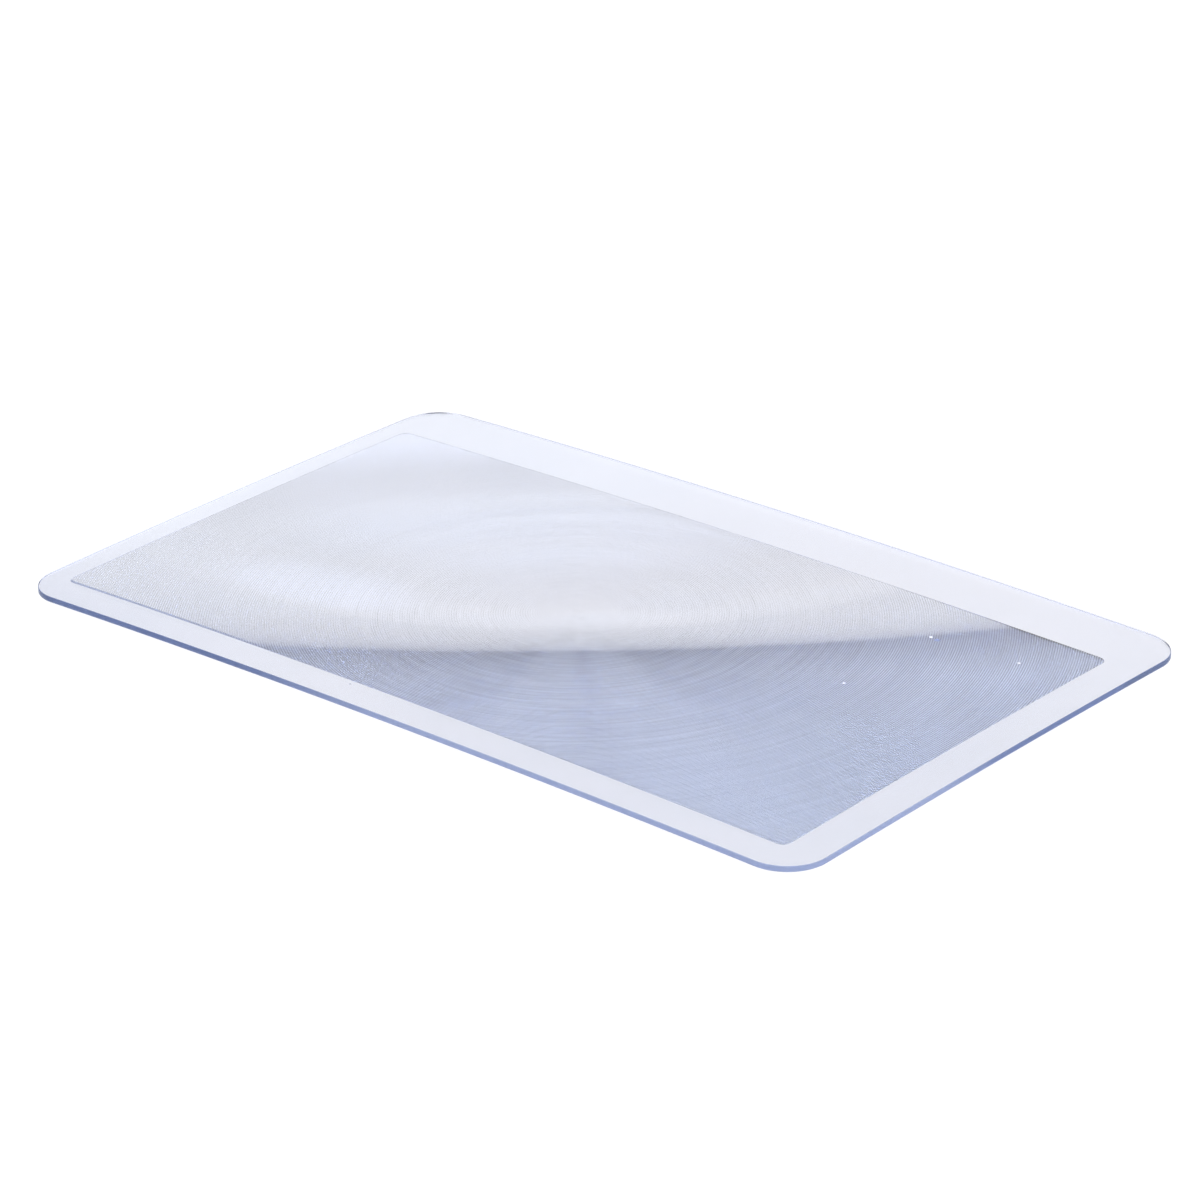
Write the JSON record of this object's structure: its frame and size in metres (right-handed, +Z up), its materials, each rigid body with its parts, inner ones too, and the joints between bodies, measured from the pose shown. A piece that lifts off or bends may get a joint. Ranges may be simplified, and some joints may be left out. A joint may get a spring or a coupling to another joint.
{
  "type": "fresnel lens",
  "caption": "Clear card-sized sheet magnifier: a rectangular window of concentric sawtooth grooves inside a plain rounded border.",
  "frame": {"origin": "under the middle of the card's outline, level with the lowest corner of the underside", "axes": "+X along the long edges, +Y towards the wide plain border, +Z up out of the smooth face, with the grooves beneath"},
  "size_m": [0.0856, 0.054, 0.0014],
  "materials": {
    "clear_sheet": "clear rigid vinyl with a faint blue tint, smooth top and border, fine grooves moulded in the underside"
  },
  "bodies": {
    "root": {"fresnel_lens": "clear_sheet"}
  },
  "joints": []
}
